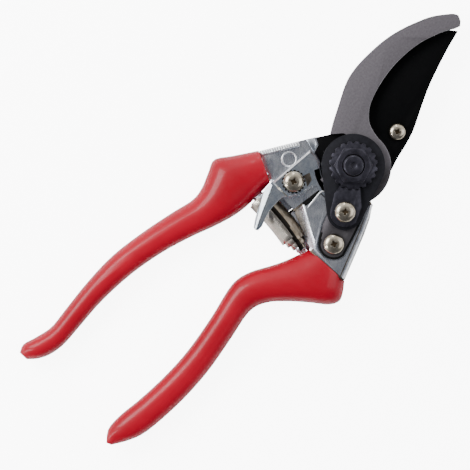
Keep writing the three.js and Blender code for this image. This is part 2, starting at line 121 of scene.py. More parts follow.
class Shader:
    """A node material while it is being wired, on object coordinates in millimetres."""

    def __init__(self, name: str) -> None:
        """Starts a material with one principled shader.

        Args:
            name: The material's name.
        """
        self.material = bpy.data.materials.new(name)
        self.material.use_nodes = True
        self.tree = self.material.node_tree
        self.principled = self.tree.nodes["Principled BSDF"]
        place = self.node("TexCoord")
        scaling = self.node("Mapping", Scale=(1 / MM, 1 / MM, 1 / MM))
        self.tree.links.new(place.outputs["Object"], scaling.inputs["Vector"])
        self.place = scaling.outputs["Vector"]

    @staticmethod
    def fill(node: bpy.types.Node, **values: object) -> bpy.types.Node:
        """Sets plain values on a node.

        Args:
            node: The node.
            **values: Socket names with underscores for spaces, and their values.

        Returns:
            The same node.
        """
        for key, value in values.items():
            node.inputs[key.replace("_", " ")].default_value = value
        return node

    def node(self, kind: str, **values: object) -> bpy.types.Node:
        """Adds a node.

        Args:
            kind: The node's kind.
            **values: Socket names with underscores for spaces, and their values.

        Returns:
            The node.
        """
        return self.fill(self.tree.nodes.new(f"ShaderNode{kind}"), **values)

    def set(self, **values: object) -> None:
        """Sets plain values on the principled shader.

        Args:
            **values: Socket names with underscores for spaces, and their values.
        """
        self.fill(self.principled, **values)

    def link(self, source: bpy.types.NodeSocket, socket: str) -> None:
        """Wires a socket into the principled shader.

        Args:
            source: The socket that gives the value.
            socket: The name of the principled shader's socket.
        """
        self.tree.links.new(source, self.principled.inputs[socket])

    def stretched(self, scale: tuple[float, float, float], turn: float = 0.0) -> bpy.types.NodeSocket:
        """Gives the place scaled by axis after a turn about Z, for drawn-out grain.

        Args:
            scale: The factors along X, Y and Z.
            turn: Degrees about Z.

        Returns:
            The vector socket.
        """
        factors = tuple(1 / part for part in scale)
        mapping = self.node("Mapping", Rotation=(0, 0, math.radians(turn)), Scale=factors)
        mapping.vector_type = "TEXTURE"
        self.tree.links.new(self.place, mapping.inputs["Vector"])
        return mapping.outputs["Vector"]

    def noise(
        self,
        scale: float,
        detail: float = 3.0,
        roughness: float = 0.5,
        vector: bpy.types.NodeSocket | None = None,
    ) -> bpy.types.NodeSocket:
        """Adds a noise pattern.

        Args:
            scale: Features per millimetre.
            detail: Octaves.
            roughness: How strong the finer octaves are.
            vector: The place to read it at.

        Returns:
            The value socket.
        """
        node = self.node("TexNoise", Scale=scale, Detail=detail, Roughness=roughness)
        self.tree.links.new(vector or self.place, node.inputs["Vector"])
        return node.outputs["Fac"]

    def ramp(
        self, value: bpy.types.NodeSocket, stops: Sequence[tuple[float, tuple[float, ...]]]
    ) -> bpy.types.NodeSocket:
        """Adds a colour ramp.

        Args:
            value: The socket that drives it.
            stops: Positions with their linear colours.

        Returns:
            The colour socket.
        """
        node = self.node("ValToRGB")
        while len(node.color_ramp.elements) < len(stops):
            node.color_ramp.elements.new(0.5)
        for element, (position, colour) in zip(node.color_ramp.elements, stops):
            element.position = position
            element.color = colour
        self.tree.links.new(value, node.inputs["Fac"])
        return node.outputs["Color"]

    def along(self, axis: str, low: float, high: float) -> bpy.types.NodeSocket:
        """Gives a value that rises from 0 to 1 between two places on an axis.

        Args:
            axis: X, Y or Z.
            low: Where it is 0, in millimetres.
            high: Where it is 1.

        Returns:
            The value socket.
        """
        split = self.node("SeparateXYZ")
        self.tree.links.new(self.place, split.inputs["Vector"])
        node = self.node("MapRange", From_Min=low, From_Max=high)
        self.tree.links.new(split.outputs[axis], node.inputs["Value"])
        return node.outputs["Result"]

    def shaded(
        self, colour: bpy.types.NodeSocket, light: bpy.types.NodeSocket, share: float
    ) -> bpy.types.NodeSocket:
        """Darkens a colour where a value is low.

        Args:
            colour: The colour socket.
            light: 1 keeps the colour and 0 darkens it.
            share: What is left of the colour at 0.

        Returns:
            The colour socket.
        """
        level = self.ramp(light, [(0.0, (share, share, share, 1.0)), (1.0, (1.0, 1.0, 1.0, 1.0))])
        node = self.node("Mix")
        node.data_type = "RGBA"
        node.blend_type = "MULTIPLY"
        node.inputs["Factor"].default_value = 1.0
        self.tree.links.new(colour, node.inputs[6])
        self.tree.links.new(level, node.inputs[7])
        return node.outputs[2]

    def spread(self, value: bpy.types.NodeSocket, low: float, high: float) -> bpy.types.NodeSocket:
        """Maps a pattern's middle range onto a range of values.

        Args:
            value: The pattern.
            low: The value where the pattern is 0.3.
            high: The value where the pattern is 0.7.

        Returns:
            The value socket.
        """
        node = self.node("MapRange", From_Min=0.3, From_Max=0.7, To_Min=low, To_Max=high)
        self.tree.links.new(value, node.inputs["Value"])
        return node.outputs["Result"]

    def bump(self, height: bpy.types.NodeSocket, distance: float, strength: float) -> None:
        """Adds relief over what is already wired to the normal.

        Args:
            height: The pattern of heights.
            distance: The height of the pattern in millimetres.
            strength: The share of it that shows.
        """
        node = self.node("Bump", Distance=distance * MM, Strength=strength)
        self.tree.links.new(height, node.inputs["Height"])
        earlier = self.principled.inputs["Normal"].links
        if earlier:
            self.tree.links.new(earlier[0].from_socket, node.inputs["Normal"])
        self.tree.links.new(node.outputs["Normal"], self.principled.inputs["Normal"])


# ---------------------------------------------------------------- finishes


@dataclass(frozen=True)
class Finish:
    """A surface finish: its name, its slot and its two tones."""

    name: str
    slot: Slot
    dark: Colour
    light: Colour
    roughness: float

    def mixed(self, shader: Shader, pattern: bpy.types.NodeSocket) -> bpy.types.NodeSocket:
        """Mixes the two tones through a pattern.

        Args:
            shader: The material that is being wired.
            pattern: The pattern between the tones.

        Returns:
            The colour socket.
        """
        return shader.ramp(pattern, [(0.32, linear(*self.dark)), (0.68, linear(*self.light))])

    def grain(self, shader: Shader) -> None:
        """Wires what is particular to this finish.

        Args:
            shader: The material that is being wired.
        """
        raise NotImplementedError

    def material(self) -> bpy.types.Material:
        """Gives the finish's material, wired once.

        Returns:
            The material.
        """
        found = bpy.data.materials.get(self.name)
        if found:
            return found
        shader = Shader(self.name)
        self.grain(shader)
        return shader.material


@dataclass(frozen=True)
class DippedVinyl(Finish):
    """Glossy soft vinyl from a dip: level, with faint orange peel."""

    def grain(self, shader: Shader) -> None:
        """Wires the vinyl's depth and skin.

        Args:
            shader: The material that is being wired.
        """
        shader.link(self.mixed(shader, shader.noise(0.05, 2.0)), "Base Color")
        skin = shader.noise(0.6, 3.0)
        shader.link(shader.spread(skin, self.roughness * 0.85, self.roughness * 1.15), "Roughness")
        shader.set(Specular_IOR_Level=0.28, Coat_Weight=0.16, Coat_Roughness=0.08)
        shader.bump(shader.noise(0.35, 1.0), 0.05, 0.25)
        shader.bump(shader.noise(3.0, 2.0), 0.004, 0.25)


@dataclass(frozen=True)
class PolishedMetal(Finish):
    """Polished and plated metal with a faint drawn grain."""

    turn: float = 0.0
    clouding: float = 0.3
    grain_depth: float = 0.004

    def grain(self, shader: Shader) -> None:
        """Wires the metal's clouding and drawn grain.

        Args:
            shader: The material that is being wired.
        """
        shader.link(self.mixed(shader, shader.noise(self.clouding, 4.0, 0.6)), "Base Color")
        drawn = shader.noise(1.0, 4.0, 0.6, shader.stretched((0.25, 6.0, 2.0), self.turn))
        shader.link(shader.spread(drawn, self.roughness * 0.85, self.roughness * 1.2), "Roughness")
        shader.set(Metallic=1.0)
        shader.bump(drawn, self.grain_depth, 0.12)
        shader.bump(shader.noise(0.45, 3.0), 0.06, 0.12)


@dataclass(frozen=True)
class BlastedSteel(Finish):
    """Matt blasted steel: an even grain of small pits, darker towards the tang as painted shade where the
    tang sits in the handle's pocket.
    """

    tang_shade_share: float = 0.42
    tang_shade_from_to: tuple[float, float] = (-12.0, -8.0)

    def grain(self, shader: Shader) -> None:
        """Wires the pitted skin.

        Args:
            shader: The material that is being wired.
        """
        pits = shader.noise(5.0, 3.0, 0.7)
        mottled = self.mixed(shader, shader.noise(1.2, 5.0, 0.75))
        # Painted shade: the colour darkens towards the tang, where it sits in the handle's pocket.
        unshaded = shader.along("Y", *self.tang_shade_from_to)
        shader.link(shader.shaded(mottled, unshaded, self.tang_shade_share), "Base Color")
        shader.link(shader.spread(pits, self.roughness * 0.9, self.roughness * 1.15), "Roughness")
        shader.set(Metallic=0.55, Specular_IOR_Level=0.5)
        shader.bump(pits, 0.03, 0.5)


@dataclass(frozen=True)
class BlackCoating(Finish):
    """Thin black coating on steel, satin, with a very fine texture."""

    metallic: float = 0.0
    shine: float = 0.18

    def grain(self, shader: Shader) -> None:
        """Wires the coating's fine texture.

        Args:
            shader: The material that is being wired.
        """
        shader.link(self.mixed(shader, shader.noise(0.5, 3.0, 0.6)), "Base Color")
        fine = shader.noise(4.0, 3.0, 0.6)
        shader.link(shader.spread(fine, self.roughness * 0.9, self.roughness * 1.2), "Roughness")
        shader.set(Metallic=self.metallic, Specular_IOR_Level=self.shine)
        shader.bump(fine, 0.012, 0.4)


VINYL = DippedVinyl("dipped_red_vinyl", Slot.GRIP, (164, 2, 31), (180, 4, 37), 0.34)
HANDLE_METAL = PolishedMetal(
    "polished_handle_metal", Slot.HANDLE, (190, 194, 204), (240, 242, 246), 0.25, 40, 0.22
)
LATCH_METAL = PolishedMetal("polished_latch_metal", Slot.HANDLE, (200, 212, 224), (242, 246, 250), 0.2, -10)
# Painted highlight: a lighter copy of the handle metal for rims, chamfers and borders that catch the light.
HIGHLIGHT_METAL = PolishedMetal("painted_highlight_metal", Slot.HANDLE, (226, 228, 232), (250, 250, 252), 0.3, 59)
SPRING_STEEL = PolishedMetal("bright_spring_steel", Slot.BRIGHT, (168, 160, 150), (214, 208, 198), 0.26, 90)
# Brown tone of the steel, darkened as painted shade on the coils right of the strip's free end.
BROWN_SHADED_STEEL = PolishedMetal("brown_spring_steel_painted_shade", Slot.BRIGHT, (104, 94, 82), (168, 156, 140), 0.3, 90)
# Near-black steel: painted shadow in the spring's gap and on its strip edges, and black oxide with painted
# shade on the latch's washer.
SHADOW_AND_OXIDE_STEEL = PolishedMetal("painted_shadow_and_black_oxide_steel", Slot.BRIGHT, (26, 24, 23), (48, 44, 40), 0.4, 0)
SHADED_STEEL = PolishedMetal("shaded_latch_facet", Slot.HANDLE, (96, 88, 80), (150, 140, 126), 0.3, 60)
# Black: rubber on the stop cushion, painted shadow on the blade head's slot floor and round the tang's
# edge.
RUBBER_AND_SHADOW_BLACK = BlackCoating("black_rubber_and_painted_shadow", Slot.BLACK, (4, 4, 4), (7, 7, 8), 0.8)
RECESS = PolishedMetal("shaded_nickel", Slot.SCREW, (72, 60, 44), (116, 98, 76), 0.4, 0)
HOOK_STEEL = BlastedSteel("blasted_hook_steel", Slot.HOOK, (92, 88, 93), (108, 104, 109), 0.55)
BLADE_COAT = BlackCoating("black_blade_coating", Slot.COATING, (2, 2, 3), (4, 4, 5), 0.6, 0.0, 0.07)
COVER_COAT = BlackCoating("black_cover_coating", Slot.COATING, (22, 22, 27), (31, 31, 37), 0.42, 0.3)
NUT_STEEL = BlackCoating("blackened_nut_steel", Slot.BLACK, (46, 45, 52), (66, 65, 74), 0.3, 0.72)
# Ground inner bevel of the hook, lightened as a painted highlight.
GROUND_EDGE_HIGHLIGHT = BlastedSteel("ground_hook_edge_painted_highlight", Slot.HOOK, (150, 148, 153), (170, 168, 173), 0.4)
NICKEL = PolishedMetal("nickel_plated_steel", Slot.SCREW, (156, 146, 128), (212, 202, 184), 0.22, 20)


# ---------------------------------------------------------------- the workbench


def deselect() -> None:
    """Leaves nothing selected and nothing active."""
    for thing in bpy.context.view_layer.objects:
        thing.select_set(False)
    bpy.context.view_layer.objects.active = None


def take(piece: bpy.types.Object) -> None:
    """Selects one piece alone and makes it active.

    Args:
        piece: The piece to work on.
    """
    deselect()
    piece.select_set(True)
    bpy.context.view_layer.objects.active = piece


@contextmanager
def editing(piece: bpy.types.Object, mode: str = "EDGE") -> Iterator[None]:
    """Opens a piece in edit mode and closes it again.

    Args:
        piece: The piece to edit.
        mode: What is picked: VERT, EDGE or FACE.

    Yields:
        Nothing.
    """
    take(piece)
    bpy.ops.object.mode_set(mode="EDIT")
    bpy.ops.mesh.select_mode(type=mode)
    yield
    bpy.ops.object.mode_set(mode="OBJECT")


def rename(piece: bpy.types.Object, name: str) -> bpy.types.Object:
    """Names a piece and its mesh.

    Args:
        piece: The piece.
        name: Its new name.

    Returns:
        The same piece.
    """
    piece.name = name
    piece.data.name = name
    return piece


def copy_of(node: str, name: str) -> bpy.types.Object:
    """Copies a node's mesh as a new piece, joins its loose triangles and clears its flat faces.

    Args:
        node: The node to copy.
        name: The piece's name.

    Returns:
        The new piece.
    """
    source = frame["nodes"][node]
    piece = bpy.data.objects.new(name, source.data.copy())
    piece.data.name = name
    piece.data.materials.clear()
    bpy.context.scene.collection.objects.link(piece)
    with editing(piece):
        bpy.ops.mesh.select_all(action="SELECT")
        bpy.ops.mesh.remove_doubles(threshold=WELD_DISTANCE)
        bpy.ops.mesh.customdata_custom_splitnormals_clear()
        bpy.ops.mesh.dissolve_limited(angle_limit=FLAT_ANGLE)
    return piece


def pick_edges(piece: bpy.types.Object, test: EdgeTest, sharp: float = 30.0) -> int:
    """Picks a piece's sharp edges that pass a test, in object mode.

    Args:
        piece: The piece.
        test: Called with an edge's two ends in millimetres.
        sharp: The least angle between the edge's faces, in degrees.

    Returns:
        How many edges are picked.
    """
    with editing(piece):
        bpy.ops.mesh.select_all(action="DESELECT")
        bpy.ops.mesh.edges_select_sharp(sharpness=math.radians(sharp))
    mesh = piece.data
    places = [vertex.co / MM for vertex in mesh.vertices]
    for face in mesh.polygons:
        face.select = False
    chosen = [edge for edge in mesh.edges if edge.select and test(*(places[i] for i in edge.vertices))]
    for vertex in mesh.vertices:
        vertex.select = False
    for edge in mesh.edges:
        edge.select = False
    for edge in chosen:
        edge.select = True
        for index in edge.vertices:
            mesh.vertices[index].select = True
    return len(chosen)


def bevel(
    piece: bpy.types.Object,
    width: float,
    segments: int = 2,
    test: EdgeTest = lambda start, end: True,
    sharp: float = 30.0,
    clamp: bool = True,
) -> None:
    """Bevels a piece's sharp edges that pass a test.

    Args:
        piece: The piece.
        width: The bevel's width in millimetres.
        segments: Its steps.
        test: Called with an edge's two ends in millimetres.
        sharp: The least angle between the edge's faces, in degrees.
        clamp: Whether a short edge limits the whole bevel.
    """
    if not pick_edges(piece, test, sharp):
        LOG.warning("%s: no edge to bevel at %.2f mm", piece.name, width)
        return
    with editing(piece):
        bpy.ops.mesh.bevel(offset=width * MM, segments=segments, affect="EDGES", clamp_overlap=clamp)


def traced(name: str, outline: Sequence[Point], bottom: float, top: float) -> bpy.types.Object:
    """Draws an outline point by point and raises it to a closed solid.

    Args:
        name: The piece's name.
        outline: Its corners in millimetres, in order.
        bottom: The height of its lower face in millimetres.
        top: The height of its upper face in millimetres.

    Returns:
        The new piece.
    """
    deselect()
    start = Vector((outline[0][0], outline[0][1], bottom)) * MM
    bpy.ops.mesh.primitive_plane_add(size=MM, location=start)
    piece = rename(bpy.context.object, name)
    bpy.ops.object.transform_apply(location=True, rotation=True, scale=True)
    with editing(piece, "VERT"):
        bpy.ops.mesh.select_all(action="SELECT")
        bpy.ops.mesh.merge(type="CENTER")
        bpy.ops.mesh.select_all(action="SELECT")
        for before, after in pairwise(outline):
            step = ((after[0] - before[0]) * MM, (after[1] - before[1]) * MM, 0)
            bpy.ops.mesh.extrude_vertices_move(TRANSFORM_OT_translate={"value": step})
        bpy.ops.mesh.select_all(action="SELECT")
        bpy.ops.mesh.edge_face_add()
        bpy.ops.mesh.select_mode(type="FACE")
        bpy.ops.mesh.select_all(action="SELECT")
        bpy.ops.mesh.extrude_region_move(TRANSFORM_OT_translate={"value": (0, 0, (top - bottom) * MM)})
        bpy.ops.mesh.select_all(action="SELECT")
        bpy.ops.mesh.normals_make_consistent(inside=False)
    return piece


def ramped(
    name: str, high: Sequence[Point], low: Sequence[Point], high_z: float, low_z: float, top: float
) -> bpy.types.Object:
    """Makes a solid whose lower face slopes from one line down to another, for cutting a chamfer.

    Args:
        name: The piece's name.
        high: The line where the slope starts.
        low: The line where it ends, with as many points.
        high_z: The height of the first line in millimetres.
        low_z: The height of the second line.
        top: The height of the solid's upper face.

    Returns:
        The new piece.
    """
    near = 0.02
    piece = traced(name, [*high, *reversed(low)], high_z, top)
    with editing(piece, "VERT"):
        bpy.ops.mesh.select_all(action="DESELECT")
    for vertex in piece.data.vertices:
        place = vertex.co / MM
        on_low = any((place.xy - Vector(point)).length < near for point in low)
        vertex.select = on_low and place.z < top - near / 2
    with editing(piece, "VERT"):
        bpy.ops.transform.translate(value=(0, 0, (low_z - high_z) * MM))
    return piece


def carve(piece: bpy.types.Object, cutter: bpy.types.Object) -> None:
    """Cuts one piece out of another and throws the cutter away.

    Args:
        piece: The piece that is cut.
        cutter: The solid that is taken out of it.
    """
    take(piece)
    cut = piece.modifiers.new("cut", "BOOLEAN")
    cut.operation = "DIFFERENCE"
    cut.solver = "EXACT"
    cut.object = cutter
    bpy.ops.object.modifier_apply(modifier=cut.name)
    bpy.data.objects.remove(cutter)


def weld(piece: bpy.types.Object, *others: bpy.types.Object) -> bpy.types.Object:
    """Joins other pieces into a piece.

    Args:
        piece: The piece that stays.
        *others: The pieces that become part of it.

    Returns:
        The piece.
    """
    take(piece)
    for other in others:
        other.select_set(True)
    bpy.ops.object.join()
    return piece


def beside(line: Sequence[Point], distance: float) -> list[Point]:
    """Offsets a line to its left.

    Args:
        line: The points of the line.
        distance: How far, in millimetres.

    Returns:
        The offset points.
    """
    moved = []
    for index, point in enumerate(line):
        before = Vector(line[max(index - 1, 0)])
        after = Vector(line[min(index + 1, len(line) - 1)])
        along = (after - before).normalized()
        moved.append((point[0] - along.y * distance, point[1] + along.x * distance))
    return moved


def polar(radius: float, degrees: float, centre: Point = (0.0, 0.0)) -> Point:
    """Gives a point on a circle.

    Args:
        radius: The circle's radius.
        degrees: The angle from X.
        centre: The circle's centre.

    Returns:
        The point.
    """
    angle = math.radians(degrees)
    return (centre[0] + radius * math.cos(angle), centre[1] + radius * math.sin(angle))


def arc_band(inner: float, outer: float, first: float, last: float, steps: int = 16) -> list[Point]:
    """Outlines a band between two radii about the pivot.

    Args:
        inner: The inner radius in millimetres.
        outer: The outer radius.
        first: The angle of its first end in degrees.
        last: The angle of its last end.
        steps: How many parts each arc has.

    Returns:
        The corners.
    """
    sweep = [first + (last - first) * index / steps for index in range(steps + 1)]
    return [polar(outer, angle) for angle in sweep] + [polar(inner, angle) for angle in reversed(sweep)]


def lathed(name: str, profile: Sequence[Point], centre: Point) -> bpy.types.Object:
    """Spins a profile about an upright axis.

    Args:
        name: The piece's name.
        profile: Radius and height pairs from the axis round to the axis, upwards.
        centre: Where the axis stands.

    Returns:
        The new piece.
    """
    deselect()
    axis = Vector((centre[0], centre[1], 0)) * MM
    start = axis + Vector((profile[0][0], 0, profile[0][1])) * MM
    bpy.ops.mesh.primitive_plane_add(size=MM, location=start)
    piece = rename(bpy.context.object, name)
    bpy.ops.object.transform_apply(location=True, rotation=True, scale=True)
    with editing(piece, "VERT"):
        bpy.ops.mesh.select_all(action="SELECT")
        bpy.ops.mesh.merge(type="CENTER")
        bpy.ops.mesh.select_all(action="SELECT")
        for before, after in pairwise(profile):
            step = ((after[0] - before[0]) * MM, 0, (after[1] - before[1]) * MM)
            bpy.ops.mesh.extrude_vertices_move(TRANSFORM_OT_translate={"value": step})
        bpy.ops.mesh.select_all(action="SELECT")
        bpy.ops.mesh.spin(steps=LATHE_STEPS, angle=math.tau, center=axis, axis=(0, 0, 1))
        bpy.ops.mesh.select_all(action="SELECT")
        bpy.ops.mesh.remove_doubles(threshold=WELD_DISTANCE)
        bpy.ops.mesh.normals_make_consistent(inside=False)
    return piece


def smooth(piece: bpy.types.Object, angle: float = 32.0) -> None:
    """Shades a piece smooth where its faces meet flatly.

    Args:
        piece: The piece.
        angle: The greatest angle that is smoothed, in degrees.
    """
    take(piece)
    bpy.ops.object.shade_smooth_by_angle(angle=math.radians(angle))


def dress(
    piece: bpy.types.Object, finish: Finish, body: Body, nodes: Sequence[str] = ()
) -> bpy.types.Object:
    """Gives a piece its finish and its body, and lets it stand for nodes.

    Args:
        piece: The finished piece.
        finish: Its finish.
        body: The body it rides on.
        nodes: The nodes it stands for.

    Returns:
        The same piece.
    """
    piece.data.materials.clear()
    piece.data.materials.append(finish.material())
    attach(piece, body.value)
    if nodes:
        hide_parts(*nodes)
    LOG.info("%s: %d faces", piece.name, len(piece.data.polygons))
    return piece


def add_finishes(piece: bpy.types.Object, *finishes: Finish) -> None:
    """Adds second and later finishes to a dressed piece, for faces that are picked afterwards.

    Args:
        piece: The piece.
        *finishes: The finishes, in the order of their numbers.
    """
    for finish in finishes:
        piece.data.materials.append(finish.material())


def flat_piece(
    name: str,
    outline: Sequence[Point],
    heights: tuple[float, float],
    edge: float,
    finish: Finish,
    body: Body,
) -> bpy.types.Object:
    """Builds and dresses a flat piece with rounded edges.

    Args:
        name: The piece's name.
        outline: Its corners in millimetres, in order.
        heights: The heights of its lower and upper face.
        edge: The width of its rounded edges.
        finish: Its finish.
        body: The body it rides on.

    Returns:
        The piece.
    """
    piece = traced(name, outline, *heights)
    bevel(piece, edge, 2)
    smooth(piece)
    return dress(piece, finish, body)


def finished(node: str, name: str, edge: float, finish: Finish, body: Body) -> bpy.types.Object:
    """Copies a node as it is, rounds its edges and dresses it in the node's place.

    Args:
        node: The node.
        name: The piece's name.
        edge: The width of its rounded edges.
        finish: Its finish.
        body: The body it rides on.

    Returns:
        The piece.
    """
    piece = copy_of(node, name)
    bevel(piece, edge, 2)
    smooth(piece)
    return dress(piece, finish, body, [node])


# ---------------------------------------------------------------- sub-assemblies


@dataclass
class Grip:
    """A grip dipped over its handle's core."""

    node: str
    body: Body
    mouth: tuple[Point, Point]
    collar_z: tuple[float, float]
    lip: float = 0.7
    collar_inset: float = 0.35
    collar_reach: tuple[float, float] = (0.6, 0.8)

    def collar(self) -> bpy.types.Object:
        """Builds the collar that fills the joint between the grip and the head, in painted shade.

        Returns:
            The collar.
        """
        start, end = (Vector(point) for point in self.mouth)
        along = (end - start).normalized()
        out = Vector((along.y, -along.x))
        start, end = start + along * self.collar_inset, end - along * self.collar_inset
        into_grip, into_head = -out * self.collar_reach[0], out * self.collar_reach[1]
        corners = (start + into_grip, end + into_grip, end + into_head, start + into_head)
        outline = [(corner.x, corner.y) for corner in corners]
        return flat_piece(f"{self.node}_collar", outline, self.collar_z, 0.15, SHADED_STEEL, self.body)

    def build(self) -> bpy.types.Object:
        """Builds the skin with a rounded lip and dresses it.

        Returns:
            The grip.
        """
        self.collar()
        piece = copy_of(self.node, f"{self.node}_skin")
        with editing(piece, "FACE"):
            bpy.ops.mesh.select_all(action="SELECT")
            bpy.ops.mesh.tris_convert_to_quads(
                face_threshold=math.radians(50), shape_threshold=math.radians(60)
            )
        bevel(piece, self.lip, 3, sharp=50)
        smooth(piece, 50)
        return dress(piece, VINYL, self.body, [self.node])


@dataclass
class BladeHead:
    """The forged head of the handle that carries the blade."""

    deck: float = 11.3
    edge: float = 0.4
    rim_width: float = 2.0
    rim_height: float = 1.3
    rim_line: tuple[Point, ...] = ((-21.3, 29.3), (-8.1, 21.4))
    ridges: int = 15
    ridge_inset: float = 0.84
    ridge_start: float = 0.8
    ridged_share: float = 0.92
    ridge_radius: float = 0.34
    corner: tuple[Point, ...] = ((-5.7, 19.7), (-2.9, 18.0), (-4.2, 15.5), (-6.9, 14.5))
    corner_z: tuple[float, float] = (10.7, 11.52)
    ring_centre: Point = (-15.6, 19.1)
    ring_radius: float = 2.75
    ring_wire: float = 0.36
    slot_radii: tuple[float, float] = (10.6, 14.95)
    slot_angles: tuple[float, float] = (139.0, 171.0)
    slot_floor: float = 8.6
    ledge: tuple[Point, ...] = ((-31.6, 14.5), (-27.2, 15.0), (-27.2, 4.85), (-31.6, 5.3))
    ledge_z: tuple[float, float] = (0.5, 2.0)

    def forging(self) -> bpy.types.Object:
        """Builds the head itself, with the slot beside the latch's finger, whose floor is painted black as
        shadow.

        Returns:
            The forging.
        """
        piece = copy_of("blade_handle", "blade_handle_forging")
        bevel(piece, self.edge, 1, sharp=40)
        slot = arc_band(*self.slot_radii, *self.slot_angles)
        carve(piece, traced("slot_cutter", slot, self.slot_floor, self.deck + 1))
        smooth(piece)
        dress(piece, HANDLE_METAL, Body.BLADE, ["blade_handle"])
        add_finishes(piece, RUBBER_AND_SHADOW_BLACK)
        inner, outer = self.slot_radii
        first, last = self.slot_angles
        # Painted shadow: the slot's floor and walls take the black finish.
        for face in piece.data.polygons:
            spot = face.center / MM
            angle = math.degrees(math.atan2(spot.y, spot.x))
            if self.slot_floor - 0.1 < spot.z < self.deck - 0.2 and first - 3 < angle < last + 3:
                if inner - 0.2 < spot.xy.length < outer + 0.2:
                    face.material_index = 1
        return piece

    def rim(self) -> bpy.types.Object:
        """Builds the raised rim along the outer edge, with its fine ridges, in a lighter metal as painted
        highlight.

        Returns:
            The rim.
        """
        top = self.deck + self.rim_height
        inner = beside(self.rim_line, -self.rim_width)
        piece = traced("blade_handle_rim", [*self.rim_line, *reversed(inner)], self.deck - 1, top)
        bevel(piece, 0.45, 3)
        middle = beside(self.rim_line, -self.ridge_inset)
        start, end = (Vector(point) for point in middle)
        along = (end - start).normalized()
        first = self.ridge(start + along * self.ridge_start, along, top)
        pitch = (end - start).length * self.ridged_share / self.ridges
        ridges = [first]
        for index in range(1, self.ridges):
            twin = bpy.data.objects.new(f"ridge_{index}", first.data.copy())
            bpy.context.scene.collection.objects.link(twin)
            step = along * pitch * index * MM
            take(twin)
            with editing(twin, "VERT"):
                bpy.ops.mesh.select_all(action="SELECT")
                bpy.ops.transform.translate(value=(step.x, step.y, 0))
            ridges.append(twin)
        weld(piece, *ridges)
        smooth(piece)
        return dress(piece, HIGHLIGHT_METAL, Body.BLADE)

    def ridge(self, place: Vector, along: Vector, height: float) -> bpy.types.Object:
        """Builds one ridge across the rim.

        Args:
            place: The ridge's middle.
            along: The rim's direction.
            height: The height of the rim's top.

        Returns:
            The ridge.
        """
        deselect()
        bpy.ops.mesh.primitive_cylinder_add(
            vertices=8,
            radius=self.ridge_radius * MM,
            depth=(self.rim_width - 0.5) * MM,
            location=(place.x * MM, place.y * MM, (height - 0.06) * MM),
            rotation=(math.pi / 2, 0, math.atan2(along.y, along.x)),
        )
        piece = rename(bpy.context.object, "ridge_0")
        bpy.ops.object.transform_apply(location=True, rotation=True, scale=True)
        bevel(piece, 0.1, 2, sharp=60)
        return piece

    def corner_block(self) -> bpy.types.Object:
        """Builds the small bright block beside the blade's root.

        Returns:
            The block.
        """
        return flat_piece("blade_handle_corner", self.corner, self.corner_z, 0.2, LATCH_METAL, Body.BLADE)

    def ring(self) -> bpy.types.Object:
        """Builds the plain raised ring on the face, in a lighter metal as painted highlight.

        Returns:
            The ring.
        """
        deselect()
        sunk = (self.deck - 0.05) * MM
        bpy.ops.mesh.primitive_torus_add(
            major_segments=48,
            minor_segments=12,
            major_radius=self.ring_radius * MM,
            minor_radius=self.ring_wire * MM,
            location=(self.ring_centre[0] * MM, self.ring_centre[1] * MM, sunk),
        )
        piece = rename(bpy.context.object, "blade_handle_ring")
        bpy.ops.object.transform_apply(location=True, rotation=True, scale=True)
        with editing(piece, "VERT"):
            bpy.ops.mesh.select_all(action="SELECT")
            bpy.ops.transform.resize(value=(1, 1, 0.7), center_override=(0, 0, sunk))
        smooth(piece, 60)
        return dress(piece, HIGHLIGHT_METAL, Body.BLADE)

    def apron(self) -> bpy.types.Object:
        """Builds the low ledge of the head under the spring.

        Returns:
            The ledge.
        """
        return flat_piece("blade_handle_apron", self.ledge, self.ledge_z, 0.2, HANDLE_METAL, Body.BLADE)

    def build(self) -> None:
        """Builds the head with its rim, corner, ring and ledge."""
        self.forging()
        self.apron()
        self.rim()
        self.corner_block()
        self.ring()


